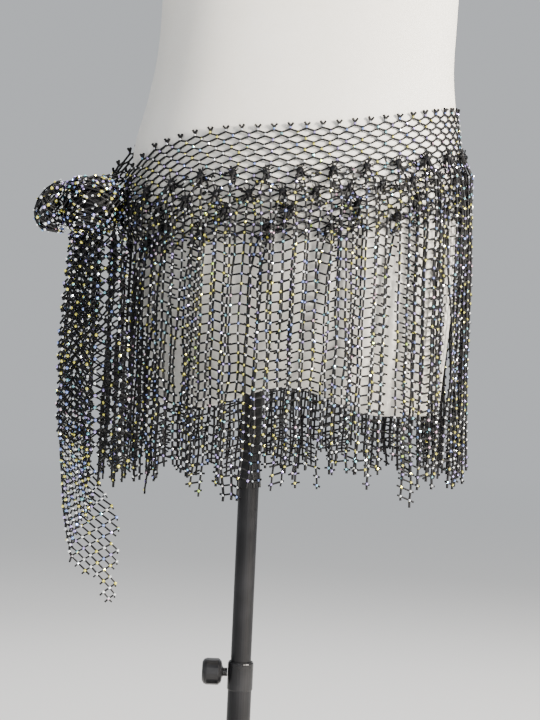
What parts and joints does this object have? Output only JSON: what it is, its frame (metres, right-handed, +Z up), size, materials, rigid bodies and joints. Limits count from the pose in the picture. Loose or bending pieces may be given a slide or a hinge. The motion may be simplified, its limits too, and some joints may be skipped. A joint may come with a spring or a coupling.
{
  "type": "belly dance hip belt on a limbless dress form with a pole stand",
  "caption": "Fringed rhinestone net hip belt with faceted beads, tied at one hip of a cloth-covered limbless dress form on a telescoping pole stand.",
  "frame": {"origin": "centre of the base disc's underside, on the pole's axis", "axes": "+Z up along the pole, -Y towards the front of the form, +X towards the wearer's left hip, away from the knot"},
  "size_m": [0.4544, 0.34, 1.48],
  "materials": {
    "net": "satin",
    "form_cloth": "matte",
    "stand_metal": "satin",
    "clamp_plastic": "gloss"
  },
  "bodies": {
    "stand": {"base_disc": "stand_metal", "lower_tube": "stand_metal", "clamp_collar": "clamp_plastic"},
    "knob": {"clamp_knob": "clamp_plastic"},
    "mast": {"mast": "stand_metal"},
    "form": {"dress_form": "form_cloth", "belt_band": "net", "fringe_row_1": "net", "fringe_row_2": "net", "fringe_row_3": "net", "fringe_row_4": "net", "tie_knot": "net", "bow_loop": "net", "tail_upper": "net", "tail_lower": "net"}
  },
  "joints": [
    {"name": "height_slide", "type": "slide", "parent": "stand", "child": "mast", "axis": [0, 0, 1], "range_m": [-0.15, 0.15]},
    {"name": "form_swivel", "type": "hinge", "parent": "mast", "child": "form", "pos_m": [0, 0, 0.74], "axis": [0, 0, 1], "continuous": true},
    {"name": "clamp_turn", "type": "hinge", "parent": "stand", "child": "knob", "pos_m": [-0.03, 0, 0.38], "axis": [-1, 0, 0], "continuous": true}
  ]
}
